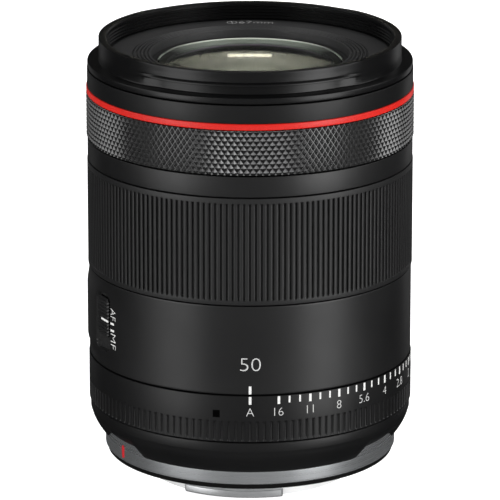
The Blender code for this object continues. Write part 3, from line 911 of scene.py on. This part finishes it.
def build_skirt():
    """Tapered skirt whose rear edge rises in a shallow notch at three places."""
    columns = 480
    low_edge, notch_edge = 9.45, 11.35

    def outline(angle):
        edge = low_edge + (notch_edge - low_edge) * notch_share(angle)
        points = [(36.6, SKIRT_TOP + 0.1), (37.55, SKIRT_TOP + 0.1),
                  (37.72, SKIRT_TOP - 0.04), (37.76, SKIRT_TOP - 0.3), (37.74, 15.5),
                  (37.66, 15.2), (37.52, 14.9)]
        steps = 12
        for step in range(1, steps + 1):
            share = step / steps
            reach = 34.52 + (37.52 - 34.52) * (1.0 - share ** 1.4)
            points.append((reach, 14.9 + (edge - 14.9) * share))
        return points + [(34.42, edge + 0.02), (34.38, edge + 0.4), (34.38, 15.0)]

    outlines = [outline(360.0 * column / columns) for column in range(columns)]

    def place(row, column):
        r, z = outlines[column][row]
        return polar(r, 360.0 * column / columns, z)

    mesh = grid_mesh("rear_skirt_shell", len(outlines[0]), columns, place, wrap_rows=True)
    finish_piece("rear_skirt_shell", mesh, SKIRT_PAINT, "barrel",
                 ("rear_skirt",))


def build_mount():
    """Silver mount: outer ring with its flange, tube, lugs, seal and red index."""
    profile = [
        (MOUNT_R, 14.0, 0.0), (MOUNT_R, 6.3, 0.22), (32.8, 6.3, 0.0), (32.8, FLANGE_Z, 0.15),
        (TUBE_R - 0.4, FLANGE_Z, 0.0), (TUBE_R - 0.4, 7.4, 0.0), (31.4, 7.4, 0.0),
        (31.4, 14.0, 0.0),
    ]
    lathe("mount_ring", profile, MOUNT_METAL, "barrel", ("bayonet_mount",))
    tube = [(TUBE_R, FLANGE_Z + 0.1, 0.0), (TUBE_R, 0.0, 0.25), (TUBE_BORE, 0.0, 0.25),
            (TUBE_BORE, 7.3, 0.0), (TUBE_R - 0.5, 7.3, 0.0),
            (TUBE_R - 0.5, FLANGE_Z + 0.1, 0.0)]
    # The tube's near-white colour is a painted reflection of the floor.
    lathe("bayonet_tube", tube, TUBE_METAL_PAINTED_REFLECTION, "barrel")
    for number, centre in enumerate(LUG_CENTRES):
        build_lug(number, centre)
    # Black rubber seal: its lip below the flange is partly real and partly a painted shadow,
    # standing in for the shade under the flange's edge.
    seal = [(34.05, 6.25, 0.2), (33.75, 5.05, 0.25), (33.2, 5.05, 0.2), (32.9, 6.25, 0.0)]
    lathe("flange_seal", seal, SEAL_RUBBER, "barrel", ("dust_seal",))
    mark = patch_mesh("index", MOUNT_R, -60.2, 1.2, 10.1, 6.95, steps=8, round_ends=True)
    marks("mount_index", [mark], INDEX_RED, "barrel")


def build_lug(number, centre):
    """One bayonet lug with rounded ends and edges."""
    steps = 40
    top, bottom = LUG_THICK + 0.02, 0.02
    section = eased([(LUG_ROOT, top, 0.0), (LUG_R, top, 0.30), (LUG_R, bottom, 0.55),
                     (LUG_ROOT, bottom, 0.0)], 5)
    rows = []
    for step in range(steps + 1):
        share = abs(2.0 * step / steps - 1.0)
        angle = centre - LUG_HALF + 2.0 * LUG_HALF * step / steps
        tuck = 1.0 if share < 1.0 else 0.80
        if share > 0.96:
            angle = centre + math.copysign(LUG_HALF - 0.35 + 0.35 * tuck, angle - centre)
        rows.append([polar(LUG_ROOT + (r - LUG_ROOT) * tuck, angle, z) for r, z in section])
    work = bmesh.new()
    made = [[work.verts.new(point * MM) for point in row] for row in rows]
    count = len(section)
    for step in range(steps):
        for index in range(count):
            after = (index + 1) % count
            work.faces.new((made[step][index], made[step][after],
                            made[step + 1][after], made[step + 1][index]))
    work.faces.new(list(reversed(made[0])))
    work.faces.new(made[-1])
    bmesh.ops.recalc_face_normals(work, faces=work.faces)
    mesh = bpy.data.meshes.new(f"bayonet_lug_{number + 1}")
    work.to_mesh(mesh)
    work.free()
    finish_piece(f"bayonet_lug_{number + 1}", mesh, LUG_METAL, "barrel")


# --- Glass and the dark space behind it -------------------------------------
CELL_R = 24.0           # bore of the front plate, which holds the retainer
SEAT_R = 21.62          # just outside the front glass
RETAINER_TOP = 98.75
GLASS_EDGE_Z = 98.67    # height of the front glass at its edge
EDGE_BOTTOM, EDGE_BOTTOM_R = 95.3, 19.1


def sag(curve, distance):
    """Height lost by a spherical surface at a distance from its middle."""
    size = abs(curve)
    return math.copysign(size - math.sqrt(size * size - distance * distance), curve)


def build_glass(number, front_curve, rear_curve, material, taper=0.0, edge_z=None):
    """Smooth glass group in its CAD node's box; taper narrows its rear edge."""
    node = f"glass_group_{number:02d}"
    half = radius(node)
    top, bottom = heights(node)
    front_z = edge_z + sag(front_curve, half) if edge_z else top
    rear_z = bottom + abs(sag(rear_curve, half))
    steps, sides = 16, 96
    shares = [step / steps for step in range(steps + 1)]
    profile = [(half * share, front_z - sag(front_curve, half * share)) for share in shares]
    rear_half = half - taper
    profile += [(rear_half * share, rear_z - sag(rear_curve, rear_half * share))
                for share in reversed(shares)]

    def place(row, column):
        r, z = profile[row]
        return polar(r, 360.0 * column / sides, z)

    mesh = grid_mesh(f"glass_{number:02d}", len(profile), sides, place, wrap_rows=False)
    weld(mesh)
    finish_piece(f"glass_{number:02d}", mesh, material, "barrel", (node,))


def build_optics():
    """Front glass with its retainer, bevel and ground edge, and the groups behind it."""
    build_glass(1, 220.0, 300.0, FRONT_GLASS, taper=1.75, edge_z=GLASS_EDGE_Z)
    build_glass(2, 110.0, 70.0, SECOND_GLASS)
    build_glass(3, 38.0, 22.0, THIRD_GLASS)
    retainer = [(CELL_R, RETAINER_TOP, 0.0), (CELL_R, 97.9, 0.0), (21.75, 97.9, 0.0),
                (21.75, 98.62, 0.08), (22.3, RETAINER_TOP, 0.05)]
    lathe("glass_retainer", retainer, WELL_BLACK, "barrel", steps=3)
    # bevel ring in near-white painted highlight, light at its far side
    bevel = [(21.72, 98.84, 0.03), (21.72, 98.60, 0.0), (SEAT_R, 98.60, 0.0),
             (21.50, 98.78, 0.03)]
    lathe("glass_bevel", bevel, GLASS_BEVEL, "barrel", steps=2)
    # ground edge seen through the glass, with a painted highlight on its far side
    edge = [(SEAT_R, 98.52, 0.0), (SEAT_R, EDGE_BOTTOM, 0.0),
            (EDGE_BOTTOM_R, EDGE_BOTTOM, 0.0), (EDGE_BOTTOM_R, EDGE_BOTTOM + 0.15, 0.0)]
    lathe("glass_edge", edge, GLASS_EDGE, "barrel", steps=1)
    # thin lip whose violet is a painted coating reflection, light at its far side
    lip = [(EDGE_BOTTOM_R + 0.2, EDGE_BOTTOM - 0.05, 0.0),
           (EDGE_BOTTOM_R + 0.2, EDGE_BOTTOM - 0.25, 0.0),
           (EDGE_BOTTOM_R - 0.2, EDGE_BOTTOM - 0.25, 0.0),
           (EDGE_BOTTOM_R - 0.2, EDGE_BOTTOM - 0.05, 0.0)]
    lathe("glass_edge_lip", lip, PAINTED_VIOLET_REFLECTION, "barrel", steps=1)


# --- CAD nodes that stay ----------------------------------------------------
KEPT_MATERIALS = {
    "contact_block": SWITCH_PLASTIC, "contact_strip": GOLD, "rear_baffle": WELL_BLACK,
    "rear_frame": CELL_METAL, "inner_barrel": CELL_METAL, "iris_drive_ring": CELL_METAL,
    "focus_carriage": CELL_METAL, "focus_coil": COPPER, "magnet_yoke": STEEL,
    "guide_rod_1": STEEL, "guide_rod_2": STEEL, "circuit_board": BOARD_GREEN,
    "front_lens_cell": INNER_BROWN, "middle_lens_cell": INNER_BROWN,
    "rear_lens_cell": WELL_BLACK, "iris_housing": INNER_BROWN,
}


def dress_kept_nodes():
    """Materials for the inner nodes, which keep their CAD shape."""
    for name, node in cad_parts.items():
        material = KEPT_MATERIALS.get(name)
        if name.startswith("mount_screw"):
            material = STEEL
        elif name.startswith("iris_blade"):
            material = WELL_BLACK
        elif name.startswith("glass_group"):
            material = INNER_GLASS
        if material:
            node.data.materials.clear()
            node.data.materials.append(material)


# --- Studio -----------------------------------------------------------------
CAMERA_ELEVATION = 16.384       # degrees above the horizon
CAMERA_DISTANCE = 1.13886
CAMERA_LENS = 348.4
AIM_HEIGHT = 0.05281
AIM_SIDE = -0.00002
FLOOR_SIZE, FLOOR_GAP = 6.0, 0.00005


def build_floor():
    """Pale light table: lit from above and faintly from within."""
    bpy.ops.mesh.primitive_plane_add(size=FLOOR_SIZE, location=(0.0, 0.0, -FLOOR_GAP))
    floor = bpy.context.active_object
    floor.name = "studio_floor"
    nodes = Nodes("floor_white")
    nodes.set(Roughness=0.9, Specular_IOR_Level=0.1)
    nodes.set(Emission_Color=(1.0, 1.0, 1.0), Emission_Strength=0.85)
    cloud = nodes.noise(3.0, 2.0)
    nodes.colours(nodes.spread(cloud, 0.0, 1.0), (0.90, 0.90, 0.90), (0.92, 0.92, 0.92))
    floor.data.materials.append(nodes.material)
    floor.visible_glossy = False
    floor.visible_transmission = False
    floor.visible_shadow = False


def softbox(name, azimuth, distance, height, size, power, tilt=0.0):
    """Rectangular light facing the axis, from an azimuth measured like a mark's."""
    light = bpy.data.lights.new(name, "AREA")
    light.shape = "RECTANGLE"
    light.size, light.size_y = size
    light.energy = power
    lamp = bpy.data.objects.new(name, light)
    COLLECTION.objects.link(lamp)
    lamp.location = polar(distance, azimuth, height)
    aim = Vector((0.0, 0.0, height - distance * math.tan(math.radians(tilt))))
    lamp.rotation_euler = (aim - lamp.location).to_track_quat("-Z", "Y").to_euler()
    lamp.visible_camera = False
    return lamp


def build_lights():
    """Tall strips for the barrel, high boxes for the knurl, soft lights behind."""
    softbox("left_strip", -53.0, 1.2, 0.42, (0.66, 1.56), 9.3)
    softbox("right_strip", 52.0, 1.2, 0.42, (0.60, 1.56), 13.5)
    softbox("left_high", -88.0, 1.2, 0.66, (0.70, 0.74), 2.6)
    softbox("right_high", 88.0, 1.2, 0.66, (0.70, 0.74), 3.6)
    softbox("left_back", -148.0, 1.3, 0.30, (0.40, 1.30), 0.25)
    softbox("right_back", 148.0, 1.3, 0.30, (0.40, 1.30), 0.6)
    softbox("top_box", 180.0, 0.5, 1.3, (1.0, 0.7), 3.0, tilt=60.0)
    softbox("back_panel", 180.0, 1.3, 1.05, (1.8, 0.45), 0.06, tilt=36.0)
    spot = softbox("glass_light", 180.0, 1.4, 0.435, (0.055, 0.034), 0.026, tilt=13.5)
    spot.data.color = (1.0, 0.96, 0.78)


def build_world():
    """Bright sky for matt surfaces, a dim room for reflections, a white backdrop."""
    world = bpy.data.worlds.new("studio")
    bpy.context.scene.world = world
    world.use_nodes = True
    tree = world.node_tree
    tree.nodes.clear()
    path = tree.nodes.new("ShaderNodeLightPath")
    place = tree.nodes.new("ShaderNodeTexCoord")
    split = tree.nodes.new("ShaderNodeSeparateXYZ")
    tree.links.new(place.outputs["Generated"], split.inputs[0])

    def ramp(socket, start, stop, low, high):
        node = tree.nodes.new("ShaderNodeMapRange")
        for name, value in (("From Min", start), ("From Max", stop),
                            ("To Min", low), ("To Max", high)):
            node.inputs[name].default_value = value
        tree.links.new(split.outputs[socket], node.inputs["Value"])
        background = tree.nodes.new("ShaderNodeBackground")
        background.inputs["Color"].default_value = (1.0, 1.0, 1.0, 1.0)
        tree.links.new(node.outputs["Result"], background.inputs["Strength"])
        return background.outputs[0]

    def choose(fact, otherwise, chosen):
        mix = tree.nodes.new("ShaderNodeMixShader")
        tree.links.new(path.outputs[fact], mix.inputs[0])
        tree.links.new(otherwise, mix.inputs[1])
        tree.links.new(chosen, mix.inputs[2])
        return mix.outputs[0]

    sky = ramp("Z", -0.1, 0.15, 0.03, 0.45)
    room = ramp("Y", -1.0, 0.1, 0.26, 0.015)
    backdrop = tree.nodes.new("ShaderNodeBackground")
    backdrop.inputs["Color"].default_value = (1.0, 1.0, 1.0, 1.0)
    lit = choose("Is Diffuse Ray", room, sky)
    output = tree.nodes.new("ShaderNodeOutputWorld")
    tree.links.new(choose("Is Camera Ray", lit, backdrop.outputs[0]), output.inputs["Surface"])


def build_camera():
    """Long lens in front of the index side, slightly above the front rim."""
    data = bpy.data.cameras.new("photo_camera")
    data.lens = CAMERA_LENS
    data.sensor_width = 36.0
    data.clip_end = 20.0
    camera = bpy.data.objects.new("photo_camera", data)
    COLLECTION.objects.link(camera)
    aim = Vector((AIM_SIDE, 0.0, AIM_HEIGHT))
    rise = math.radians(CAMERA_ELEVATION)
    camera.location = aim + Vector((0.0, -math.cos(rise), math.sin(rise))) * CAMERA_DISTANCE
    camera.rotation_euler = (aim - camera.location).to_track_quat("-Z", "Y").to_euler()
    bpy.context.scene.camera = camera


build_filter_rim()
build_name_plate()
build_fixed_bands()
build_control_ring()
build_focus_ring()
build_aperture_ring()
build_fixed_barrel()
build_mode_knob()
build_function_button()
build_lock_knob()
build_skirt()
build_mount()
build_optics()
dress_kept_nodes()
build_floor()
build_lights()
build_world()
build_camera()
bpy.context.scene.view_settings.view_transform = "Standard"
